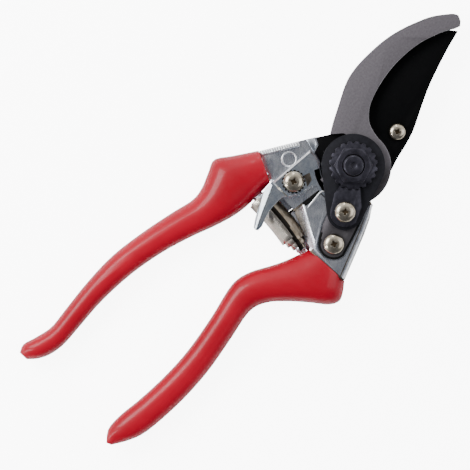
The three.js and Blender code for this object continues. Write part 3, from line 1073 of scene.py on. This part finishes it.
@dataclass
class HookHead:
    """The forged head of the handle that carries the counter-blade."""

    top: float = 15.0
    edge: float = 0.4
    crease: tuple[Point, ...] = (
        (-23.6, 4.6),
        (-24.3, 2.2),
        (-25.2, 0.0),
        (-25.8, -2.6),
        (-26.6, -4.9),
        (-28.2, -7.2),
        (-30.6, -9.6),
        (-33.0, -12.2),
    )
    flank: tuple[Point, ...] = (
        (-28.6, 4.9),
        (-29.5, 1.6),
        (-30.3, -1.0),
        (-31.2, -3.2),
        (-32.0, -5.3),
        (-33.0, -7.5),
        (-34.0, -9.7),
        (-35.0, -12.2),
    )
    flank_drop: float = 3.4
    outer_edge: tuple[Point, ...] = (
        (-5.3, -15.9),
        (-10.0, -19.0),
        (-16.0, -21.8),
        (-24.0, -25.0),
        (-33.3, -28.7),
    )
    groove_inset: float = 1.9
    groove_width: float = 0.45
    groove_depth: float = 0.45
    chamfer: float = 0.8
    chamfer_drop: float = 1.2
    cushion: tuple[Point, ...] = ((-23.7, 3.68), (-16.4, 2.66), (-16.5, 1.0), (-23.8, 1.9))
    cushion_z: tuple[float, float] = (3.0, 14.1)
    seat: tuple[Point, ...] = ((-16.5, 1.0), (-23.8, 1.9), (-23.7, 4.18), (-15.8, 3.16))
    seat_depth: float = 3.2
    lip: tuple[Point, ...] = ((-28.2, 4.3), (-23.8, 3.68), (-23.8, 2.2), (-28.2, 2.9))
    lip_z: tuple[float, float] = (2.2, 10.8)
    ledge: tuple[Point, ...] = (
        (-31.6, 4.4),
        (-26.6, 3.7),
        (-27.5, -1.0),
        (-29.0, -6.0),
        (-32.5, -10.8),
        (-35.6, -11.0),
        (-34.4, -5.0),
        (-32.6, 0.5),
    )
    ledge_z: tuple[float, float] = (0.5, 2.0)
    bridge: tuple[Point, ...] = (
        (-31.6, 5.2),
        (-27.3, 4.7),
        (-27.0, 5.4),
        (-9.5, 3.3),
        (-9.5, -0.5),
        (-31.6, 3.0),
    )
    bridge_z: tuple[float, float] = (0.9, 1.6)
    border: tuple[Point, ...] = ((-23.6, 1.2), (-20.0, 1.65), (-16.6, 2.1), (-15.3, 1.8), (-14.3, 0.5))
    border_width: float = 0.75
    border_z: tuple[float, float] = (14.7, 15.25)
    guard_radii: tuple[float, float] = (10.2, 17.4)
    guard_angles: tuple[float, float] = (174.5, 252.0)
    guard_z: tuple[float, float] = (1.9, 3.9)

    def cuts(self) -> list[bpy.types.Object]:
        """Builds the cutters of the flank, the groove, the outer chamfer and the cushion's seat.

        Returns:
            The cutters.
        """
        face = self.top + 0.02
        groove_end = self.groove_inset + self.groove_width
        groove = [
            *beside(self.outer_edge, -self.groove_inset),
            *reversed(beside(self.outer_edge, -groove_end)),
        ]
        inner, outer = beside(self.outer_edge, -self.chamfer), beside(self.outer_edge, 0.3)
        return [
            ramped("flank_cutter", self.crease, self.flank, face, self.top - self.flank_drop, self.top + 4),
            traced("groove_cutter", groove, self.top - self.groove_depth, self.top + 1),
            ramped("chamfer_cutter", inner, outer, face, self.top - self.chamfer_drop, self.top + 1),
            traced("cushion_cutter", self.seat, self.top - self.seat_depth, self.top + 1),
        ]

    def forging(self) -> bpy.types.Object:
        """Builds the head with its sloping flank, outer chamfer with a painted highlight, groove in painted
        shade and cushion seat.

        Returns:
            The forging.
        """
        piece = copy_of("hook_handle", "hook_handle_forging")
        for cutter in self.cuts():
            carve(piece, cutter)
        bevel(piece, self.edge, 1, sharp=33)
        smooth(piece)
        dress(piece, HANDLE_METAL, Body.HOOK, ["hook_handle"])
        add_finishes(piece, SHADED_STEEL, HIGHLIGHT_METAL)
        start, end = Vector(self.outer_edge[0]), Vector(self.outer_edge[-1])
        along = (end - start).normalized()
        # Painted highlight on the outer chamfer faces, painted shade on the groove's floor.
        for face in piece.data.polygons:
            spot = face.center / MM
            inset = abs((spot.xy - start).cross(along))
            if spot.z > self.top - 1.3 and inset < self.groove_inset + 3 and face.normal.z > 0.3:
                if face.normal.z < 0.95:
                    face.material_index = 2
                elif spot.z < self.top - 0.2:
                    face.material_index = 1
        return piece

    def stops(self) -> None:
        """Builds the black cushion that the handles close on, the lip beside it in painted shade and its
        border in a painted highlight.
        """
        flat_piece("stop_cushion", self.cushion, self.cushion_z, 0.25, RUBBER_AND_SHADOW_BLACK, Body.HOOK)
        flat_piece("stop_lip", self.lip, self.lip_z, 0.1, SHADED_STEEL, Body.HOOK)
        border = [*self.border, *reversed(beside(self.border, -self.border_width))]
        flat_piece("stop_border", border, self.border_z, 0.2, HIGHLIGHT_METAL, Body.HOOK)

    def under(self) -> None:
        """Builds the ledge under the spring, and the bridge under the stop and the guard round the pivot,
        both in painted shade.
        """
        flat_piece("hook_handle_apron", self.ledge, self.ledge_z, 0.2, HANDLE_METAL, Body.HOOK)
        flat_piece("stop_bridge", self.bridge, self.bridge_z, 0.1, SHADED_STEEL, Body.HOOK)
        guard = arc_band(*self.guard_radii, *self.guard_angles)
        flat_piece("pivot_guard", guard, self.guard_z, 0.2, SHADED_STEEL, Body.HOOK)

    def build(self) -> None:
        """Builds the head, its stops and what lies under it."""
        self.forging()
        self.stops()
        self.under()


@dataclass
class Blades:
    """The black cutting blade and the blasted counter-blade."""

    top: float = 15.8
    inner_bevel: float = 1.1
    outer_bevel: float = 0.9
    edge: float = 0.3
    tang_edge: float = 0.85
    blade_bottom: float = 7.9
    grind: float = 2.6

    def cutting_edge(self, start: Vector, end: Vector) -> bool:
        """Tells whether an edge is the lower side of the cutting edge."""
        middle = (start + end) / 2
        return max(start.z, end.z) < self.blade_bottom + 0.05 and 12 < middle.x < 63 and middle.y > 10.5

    def on_top(self, start: Vector, end: Vector) -> bool:
        """Tells whether an edge lies on the counter-blade's upper face."""
        return min(start.z, end.z) > self.top - 0.05

    @staticmethod
    def spine(x: float) -> float:
        """Gives the height of the line between the hook's inner and outer side."""
        return 20.0 - 0.55 * max(0.0, x - 50.0)

    def inner(self, start: Vector, end: Vector) -> bool:
        """Tells whether an edge belongs to the hook's inner side or the hub's front."""
        middle = (start + end) / 2
        return self.on_top(start, end) and middle.x > 11.0 and -9.5 < middle.y < self.spine(middle.x)

    def outer(self, start: Vector, end: Vector) -> bool:
        """Tells whether an edge belongs to the hook's outer side."""
        middle = (start + end) / 2
        return self.on_top(start, end) and middle.x > 2.0 and middle.y > min(self.spine(middle.x), 14.5)

    def tang(self, start: Vector, end: Vector) -> bool:
        """Tells whether an edge runs round the top of the tang."""
        return self.on_top(start, end) and max(start.x, end.x) < -4 and max(start.y, end.y) < -8

    def cutting(self) -> bpy.types.Object:
        """Builds the cutting blade, ground along its edge.

        Returns:
            The blade.
        """
        blade = copy_of("cutting_blade", "cutting_blade_ground")
        bevel(blade, self.grind, 1, self.cutting_edge)
        bevel(blade, 0.2, 2, sharp=40)
        smooth(blade)
        return dress(blade, BLADE_COAT, Body.BLADE, ["cutting_blade"])

    def counter(self) -> bpy.types.Object:
        """Builds the counter-blade with its ground inner bevel lightened as a painted highlight, rounded
        back and a painted black shadow round the tang's edge.

        Returns:
            The counter-blade.
        """
        hook = copy_of("counter_blade", "counter_blade_forging")
        bevel(hook, self.inner_bevel, 1, self.inner)
        bevel(hook, self.outer_bevel, 3, self.outer)
        bevel(hook, self.tang_edge, 2, self.tang, clamp=False)
        bevel(hook, self.edge, 2, lambda start, end: start.x < 0 and end.x < 0 and min(start.y, end.y) > -9)
        smooth(hook, 30)
        dress(hook, HOOK_STEEL, Body.HOOK, ["counter_blade"])
        add_finishes(hook, GROUND_EDGE_HIGHLIGHT, RUBBER_AND_SHADOW_BLACK)
        # Painted highlight on the ground inner bevel, painted black shadow on the tang's edge faces.
        for face in hook.data.polygons:
            centre = face.center / MM
            raised = Vector((centre.x, centre.y, self.top))
            if 0.3 < face.normal.z < 0.95 and self.inner(raised, raised):
                face.material_index = 1
            elif face.normal.z < 0.95 and centre.x < -3 and centre.y < -9 and centre.z > 10:
                face.material_index = 2
        return hook

    def build(self) -> None:
        """Builds both blades."""
        self.cutting()
        self.counter()


@dataclass
class Pivot:
    """The pivot's bolt, washer, nut, cover and lock plate."""

    def build(self) -> None:
        """Builds the pivot's pieces."""
        for node, finish, width in (
            ("pivot_bolt", NUT_STEEL, 0.2),
            ("pivot_washer", NICKEL, 0.15),
            ("pivot_nut", NUT_STEEL, 0.3),
            ("pivot_cover_plate", COVER_COAT, 0.4),
            ("nut_lock_plate", NUT_STEEL, 0.25),
        ):
            finished(node, f"{node}_finished", width, finish, Body.HOOK)


@dataclass
class PanScrew:
    """A pan-head screw with a cross recess."""

    node: str
    body: Body
    centre: Point
    seat: float
    radius: float
    turn: float
    tip: float
    shank: float = 2.0
    height: float = 2.2
    wing: float = 0.8
    reach: float = 0.7
    depth: float = 1.5
    taper: float = 0.45

    def profile(self) -> list[Point]:
        """Gives the head's and shank's half section, upwards.

        Returns:
            Radius and height pairs.
        """
        r, z, h = self.radius, self.seat, self.height
        return [
            (0.0, self.tip),
            (self.shank * 0.8, self.tip),
            (self.shank, self.tip + 0.5),
            (self.shank, z),
            (r * 0.94, z),
            (r, z + h * 0.08),
            (r, z + h * 0.3),
            (r * 0.965, z + h * 0.5),
            (r * 0.88, z + h * 0.7),
            (r * 0.74, z + h * 0.86),
            (r * 0.52, z + h * 0.955),
            (r * 0.26, z + h * 0.993),
            (0.0, z + h),
        ]

    def cross(self) -> bpy.types.Object:
        """Builds the cutter of the recess, a cross that narrows downwards.

        Returns:
            The cutter.
        """
        half, reach = self.wing, self.radius * self.reach
        outline: list[Point] = []
        for quarter in range(4):
            for along, across in ((half * 1.5, -half * 1.5), (reach, -half * 0.8), (reach, half * 0.8)):
                spot = Vector((along, across, 0))
                spot.rotate(Euler((0, 0, math.radians(self.turn + 90 * quarter))))
                outline.append((self.centre[0] + spot.x, self.centre[1] + spot.y))
        floor = self.seat + self.height - self.depth
        cutter = traced("cross_cutter", outline, floor, self.seat + self.height + 0.4)
        for vertex in cutter.data.vertices:
            vertex.select = vertex.co.z / MM < floor + 0.05
        with editing(cutter, "VERT"):
            middle = (self.centre[0] * MM, self.centre[1] * MM, floor * MM)
            bpy.ops.transform.resize(value=(self.taper, self.taper, 1), center_override=middle)
        return cutter

    def build(self) -> bpy.types.Object:
        """Builds the screw.

        Returns:
            The screw.
        """
        piece = lathed(f"{self.node}_plated", self.profile(), self.centre)
        carve(piece, self.cross())
        crown = self.seat + self.height * 0.8
        bevel(piece, 0.08, 2, lambda start, end: min(start.z, end.z) > crown, sharp=38)
        smooth(piece, 38)
        dress(piece, NICKEL, self.body, [self.node])
        add_finishes(piece, RECESS)
        inside = self.radius * (self.reach + 0.06)
        axis = Vector(self.centre)
        for face in piece.data.polygons:
            spot = face.center / MM
            steep = face.normal.z < 0.8 and spot.z > self.seat + self.height - self.depth - 0.1
            if (spot.xy - axis).length < inside and (steep or spot.z < crown) and spot.z > self.seat:
                face.material_index = 1
        return piece


@dataclass
class Screws:
    """The four pan-head screws and the latch's toothed washer."""

    def build(self) -> None:
        """Builds the screws and the washer."""
        PanScrew("lock_plate_screw", Body.HOOK, (-14.8, -10.3), 20.1, 4.0, 38, 11.9).build()
        PanScrew("tang_screw", Body.HOOK, (-26.5, -16.0), 16.1, 4.0, 62, 4.9).build()
        PanScrew("blade_screw", Body.BLADE, (21.2, -2.8), 11.6, 3.3, 20, 4.2).build()
        PanScrew("latch_screw", Body.BLADE, (-20.5, 11.8), 16.0, 4.0, 25, 4.9).build()
        washer = copy_of("latch_washer", "latch_washer_toothed")
        bevel(washer, 0.1, 2, sharp=35)
        smooth(washer, 38)
        # The toothed washer is black oxide steel with painted shade.
        dress(washer, SHADOW_AND_OXIDE_STEEL, Body.BLADE, ["latch_washer"])


@dataclass
class Latch:
    """The thumb latch: a plate, a step up, a thumb tab and a finger."""

    tab_edge: float = 0.8
    step_x: float = -26.0
    step_bevel: float = 2.2
    plate_top: float = 14.8
    tab_top: float = 17.4
    facet: tuple[Point, ...] = ((-16.2, 10.8), (-13.7, 9.9), (-15.1, 7.3), (-18.2, 6.7), (-16.9, 8.8))
    facet_depth: float = 0.8
    border: float = 0.75
    borders: tuple[tuple[tuple[Point, ...], int], ...] = (
        (((-26.0, 17.4), (-16.0, 16.6), (-7.0, 15.9)), -1),
        (((-7.4, 16.5), (-7.4, 12.5), (-7.9, 11.2), (-8.9, 9.2), (-9.9, 8.5)), -1),
        (((-26.0, 8.9), (-25.5, 8.3), (-22.0, 6.0), (-16.6, 5.2)), 1),
    )
    tab_slope: tuple[tuple[Point, ...], tuple[Point, ...]] = (
        ((-27.4, 16.6), (-31.0, 15.0), (-35.0, 13.0), (-40.0, 10.9), (-43.6, 9.2)),
        ((-27.0, 18.4), (-31.0, 17.9), (-34.5, 16.1), (-41.0, 12.8), (-44.6, 10.0)),
    )
    teeth: int = 9
    teeth_radii: tuple[float, float] = (4.9, 6.6)
    first_tooth: float = 196.0
    tooth_pitch: float = 9.0
    screw: Point = (-20.5, 11.8)

    def is_step(self, start: Vector, end: Vector) -> bool:
        """Tells whether an edge is the top of the step between the plate and the tab."""
        on_line = max(abs(start.x - self.step_x), abs(end.x - self.step_x)) < 0.05
        return on_line and self.on_tab(start, end)

    def on_tab(self, start: Vector, end: Vector) -> bool:
        """Tells whether an edge lies on the tab's upper face."""
        return min(start.z, end.z) > self.tab_top - 0.05

    def cuts(self) -> list[bpy.types.Object]:
        """Builds the cutters of the tab's slope, the plate's border chamfers, which get a painted
        highlight, and the facet.

        Returns:
            The cutters.
        """
        inner, outer = self.tab_slope
        top = self.tab_top
        made = [ramped("tab_cutter", inner, outer, top + 0.02, top - 1.0, top + 1.5)]
        top = self.plate_top
        for index, (line, inward) in enumerate(self.borders):
            inner = beside(line, inward * self.border)
            outer = beside(line, -inward * self.border / 3)
            made.append(ramped(f"border_cutter_{index}", inner, outer, top + 0.02, top - 0.9, top + 0.9))
        made.append(traced("facet_cutter", self.facet, top - self.facet_depth, top + 1))
        return made

    def plate(self) -> bpy.types.Object:
        """Builds the latch's plate with its slope, its facet in painted shade and its edges in a painted
        highlight.

        Returns:
            The latch.
        """
        piece = copy_of("thumb_latch", "thumb_latch_polished")
        bevel(piece, self.step_bevel, 1, self.is_step)
        bevel(piece, self.tab_edge, 1, self.on_tab, sharp=50)
        for cutter in self.cuts():
            carve(piece, cutter)
        smooth(piece, 25)
        dress(piece, LATCH_METAL, Body.LATCH, ["thumb_latch"])
        add_finishes(piece, SHADED_STEEL, HIGHLIGHT_METAL)
        middle = sum((Vector(point) for point in self.facet), Vector((0, 0))) / len(self.facet)
        # Painted shade on the sunk facet, painted highlight on the border chamfers.
        for face in piece.data.polygons:
            centre = face.center / MM
            sunk = self.plate_top - 3 < centre.z < self.plate_top - 0.1 and face.normal.z > 0.9
            if sunk and (centre.xy - middle).length < 1.5:
                face.material_index = 1
            elif 0.3 < face.normal.z < 0.9 and centre.z > self.plate_top - 1 and centre.x > self.step_x:
                face.material_index = 2
        return piece

    def detents(self) -> bpy.types.Object:
        """Builds the fine ridges on the plate below the screw.

        Returns:
            The ridges.
        """
        made: list[bpy.types.Object] = []
        inner, outer = self.teeth_radii
        for index in range(self.teeth):
            angle = self.first_tooth + index * self.tooth_pitch
            outline = [
                polar(inner, angle - 1.6, self.screw),
                polar(outer, angle - 0.9, self.screw),
                polar(outer, angle + 0.9, self.screw),
                polar(inner, angle + 1.6, self.screw),
            ]
            made.append(traced(f"detent_{index}", outline, self.plate_top - 0.3, self.plate_top + 0.22))
        piece = weld(*made)
        rename(piece, "thumb_latch_detents")
        bevel(piece, 0.06, 1)
        smooth(piece)
        return dress(piece, LATCH_METAL, Body.LATCH)

    def build(self) -> None:
        """Builds the latch and its ridges."""
        self.plate()
        self.detents()


@dataclass
class Spring:
    """The volute spring, a flat strip wound on an axis that bends between its two seats."""

    start: Point = (-34.0, 17.2)
    bend: Point = (-33.8, 2.5)
    end: Point = (-36.9, -9.2)
    centre_z: float = 8.0
    radius: float = 5.5
    length: float = 26.9
    pitch: float = 1.15
    turns: float = 3.1
    width: float = 20.0
    strip: float = 0.5
    first_angle: float = 92.0
    gap: float = 1.4
    steps_per_turn: int = 48
    rows: int = 10
    hold: float = 2.0

    def on_axis(self, share: float) -> tuple[Vector, Vector]:
        """Gives a point of the bent axis and the direction there.

        Args:
            share: How far along, from 0 to 1.

        Returns:
            The point and the unit direction.
        """
        a, b, c = Vector(self.start), Vector(self.bend), Vector(self.end)
        spot = a * (1 - share) ** 2 + b * 2 * share * (1 - share) + c * share**2
        along = (b - a) * 2 * (1 - share) + (c - b) * 2 * share
        return spot, along.normalized()

    def wound(self, turn_share: float, across: float) -> Vector:
        """Gives a point of the strip's middle surface.

        Args:
            turn_share: How far along the strip, from 0 to 1.
            across: How far across it, from 0 to 1.

        Returns:
            The point in metres.
        """
        angle = math.radians(self.first_angle) + turn_share * self.turns * math.tau
        radius = self.radius - self.strip / 2 - self.pitch * self.turns * turn_share
        down = ((self.length - self.width) * turn_share + self.width * across) / self.length
        spot, along = self.on_axis(min(max(down, 0.0), 1.0))
        side = radius * math.cos(angle)
        x, y = spot.x - along.y * side, spot.y + along.x * side
        return Vector((x, y, self.centre_z + radius * math.sin(angle))) * MM

    def coil(self) -> bpy.types.Object:
        """Builds the strip: a grid laid on its winding, given its thickness and bevelled.

        Returns:
            The strip.
        """
        deselect()
        steps = round(self.turns * self.steps_per_turn)
        bpy.ops.mesh.primitive_grid_add(x_subdivisions=steps, y_subdivisions=self.rows, size=1)
        piece = rename(bpy.context.object, "volute_spring_strip")
        for vertex in piece.data.vertices:
            vertex.co = self.wound(vertex.co.x + 0.5, vertex.co.y + 0.5)
        take(piece)
        thicken = piece.modifiers.new("thickness", "SOLIDIFY")
        thicken.thickness = self.strip * MM
        thicken.offset = 0
        bpy.ops.object.modifier_apply(modifier=thicken.name)
        with editing(piece, "VERT"):
            bpy.ops.mesh.select_all(action="SELECT")
            bpy.ops.mesh.normals_make_consistent(inside=False)
        bevel(piece, 0.12, 2, sharp=50)
        smooth(piece, 40)
        return piece

    def seats(self) -> None:
        """Builds the two seats that hold the spring's ends."""
        for node, body in (("blade_spring_seat", Body.BLADE), ("hook_spring_seat", Body.HOOK)):
            finished(node, f"{node}_turned", 0.3, HANDLE_METAL, body)

    def build(self) -> None:
        """Builds the seats and the spring."""
        self.seats()
        piece = self.coil()
        add_finishes(piece, SPRING_STEEL, SHADOW_AND_OXIDE_STEEL, BROWN_SHADED_STEEL)
        # Painted shadow on the strip's edges and in the gap beside its free end; painted shade over the
        # brown tone on the coils beyond the gap.
        for face in piece.data.polygons:
            share = (self.start[1] - face.center.y / MM) / (self.start[1] - self.end[1])
            spot, axis = self.on_axis(share)
            away = face.center.x / MM - spot.x
            radius = math.hypot(away, face.center.z / MM - self.centre_z)
            on_rim = abs(face.normal.xy.dot(axis)) > 0.5
            in_gap = radius < self.radius - self.strip - 0.1 and -0.6 < away < self.gap
            if on_rim or in_gap:
                face.material_index = 1
            elif away > self.gap:
                face.material_index = 2
        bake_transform(piece)
        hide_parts("volute_spring")
        LOG.info("%s: %d faces", piece.name, len(piece.data.polygons))


@dataclass
class Studio:
    """The pale floor, the soft light and the camera straight above."""

    centre: Point = (-50.83, 13.25)
    view_width: float = 180.5
    distance: float = 2600.0
    sensor: float = 36.0
    floor_tone: float = 0.86
    floor_glow: float = 8.0
    room: float = 0.75
    room_tilt: tuple[float, float, float] = (-0.5, -0.6, 1.0)
    lights: list[tuple[str, tuple[float, float, float], float, float, float]] = field(
        default_factory=lambda: [
            ("key", (-160.0, 360.0, 420.0), 260.0, 260.0, 2.0),
            ("fill", (260.0, -300.0, 500.0), 420.0, 420.0, 0.9),
            ("streak", (-420.0, 150.0, 230.0), 30.0, 420.0, 0.9),
            ("rim", (260.0, 330.0, 220.0), 24.0, 420.0, 0.45),
        ]
    )

    def floor(self) -> None:
        """Lays the floor under the object."""
        deselect()
        bpy.ops.mesh.primitive_plane_add(size=6, location=(0, 0, -0.02 * MM))
        floor = rename(bpy.context.object, "studio_floor")
        shader = Shader("pale_floor")
        tone = (self.floor_tone, self.floor_tone, self.floor_tone, 1.0)
        shader.set(Base_Color=tone, Roughness=0.9)
        shader.set(Emission_Color=(1.0, 1.0, 1.0, 1.0), Emission_Strength=self.floor_glow)
        floor.data.materials.append(shader.material)
        lit = bpy.data.collections.new("lit_by_floor")
        lit.objects.link(floor)
        floor.light_linking.receiver_collection = lit

    def world(self) -> None:
        """Surrounds the object with a room that is bright low down and dim overhead."""
        world = bpy.data.worlds.new("studio_room")
        bpy.context.scene.world = world
        world.use_nodes = True
        tree = world.node_tree
        place = tree.nodes.new("ShaderNodeTexCoord")
        height = tree.nodes.new("ShaderNodeVectorMath")
        height.operation = "DOT_PRODUCT"
        height.inputs[1].default_value = self.room_tilt
        ramp = tree.nodes.new("ShaderNodeValToRGB")
        ramp.color_ramp.elements[0].position = 0.35
        ramp.color_ramp.elements[0].color = (1.5, 1.5, 1.5, 1.0)
        ramp.color_ramp.elements[1].position = 0.97
        ramp.color_ramp.elements[1].color = (0.195, 0.2, 0.22, 1.0)
        background = tree.nodes["Background"]
        background.inputs["Strength"].default_value = self.room
        tree.links.new(place.outputs["Generated"], height.inputs[0])
        tree.links.new(height.outputs["Value"], ramp.inputs["Fac"])
        tree.links.new(ramp.outputs["Color"], background.inputs["Color"])

    def lamps(self) -> None:
        """Hangs the soft lamps, each turned to the object."""
        for name, place, width, height, power in self.lights:
            lamp = bpy.data.lights.new(f"{name}_light", "AREA")
            lamp.shape = "RECTANGLE"
            lamp.size = width * MM
            lamp.size_y = height * MM
            lamp.energy = power
            holder = bpy.data.objects.new(f"{name}_light", lamp)
            holder.location = Vector(place) * MM
            aim = Vector((self.centre[0], self.centre[1], 8.0)) * MM - holder.location
            holder.rotation_euler = aim.to_track_quat("-Z", "Y").to_euler()
            bpy.context.scene.collection.objects.link(holder)

    def camera(self) -> None:
        """Hangs the camera straight above, turned so that the tips point up and right."""
        data = bpy.data.cameras.new("studio_camera")
        data.sensor_width = self.sensor
        data.lens = self.sensor * (self.distance - 10) / self.view_width
        data.clip_end = 10
        holder = bpy.data.objects.new("studio_camera", data)
        holder.location = (self.centre[0] * MM, self.centre[1] * MM, self.distance * MM)
        holder.rotation_euler = (0, 0, math.radians(-45))
        bpy.context.scene.collection.objects.link(holder)
        bpy.context.scene.camera = holder

    def build(self) -> None:
        """Sets up the whole studio."""
        self.floor()
        self.world()
        self.lamps()
        self.camera()


def main() -> None:
    """Builds the shears sub-assembly by sub-assembly, then the studio."""
    logging.basicConfig(level=logging.INFO, format="%(message)s")
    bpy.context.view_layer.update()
    Blades().build()
    BladeHead().build()
    HookHead().build()
    Grip("blade_grip", Body.BLADE, ((-26.8, 18.1), (-21.6, 29.5)), (2.4, 10.8)).build()
    Grip("hook_grip", Body.HOOK, ((-33.4, -28.9), (-34.3, -11.2)), (2.4, 14.4)).build()
    Spring().build()
    Latch().build()
    Pivot().build()
    Screws().build()
    Studio().build()
    deselect()


if __name__ == "__main__":
    main()
